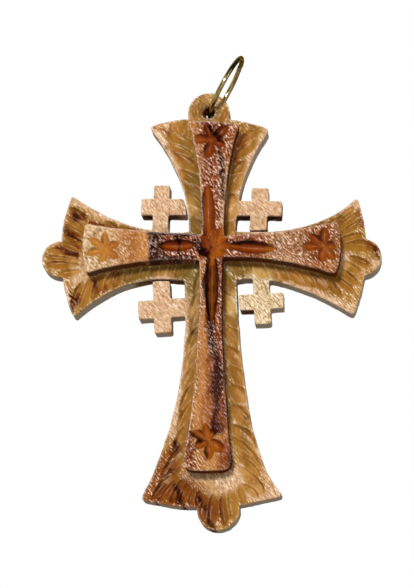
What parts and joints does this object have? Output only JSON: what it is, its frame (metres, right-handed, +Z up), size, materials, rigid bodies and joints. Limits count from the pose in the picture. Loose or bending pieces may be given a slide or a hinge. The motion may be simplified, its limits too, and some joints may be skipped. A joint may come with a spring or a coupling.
{
  "type": "pendant cross",
  "caption": "Carved olive wood pendant in the form of a Jerusalem cross, with a raised dark cross glued on a fretted base and a brass jump ring to hang it by.",
  "frame": {"origin": "crossing of the stem and the beam, on the flat back face", "axes": "+Z up along the stem towards the ring, +X to the right as seen from the front, the carved front faces -Y and the flat back faces +Y"},
  "size_m": [0.0586, 0.0125, 0.0841],
  "materials": {
    "base_wood": "honey and olive toned olive wood, gouge carved and lightly waxed, paler on the sanded flats",
    "wood_glue": "thin film of dried wood glue",
    "overlay_wood": "dark red brown olive heartwood, waxed, with glossy knife cuts",
    "ring_brass": "polished brass wire, slightly dulled"
  },
  "bodies": {
    "wood": {"base_cross": "base_wood", "glue_line": "wood_glue", "overlay_cross": "overlay_wood"},
    "ring": {"jump_ring": "ring_brass"}
  },
  "joints": [
    {"name": "ring_swing", "type": "hinge", "parent": "wood", "child": "ring", "pos_m": [-0.0013, -0.00175, 0.0259], "axis": [0, 1, 0], "range_deg": [-122, 66]}
  ]
}
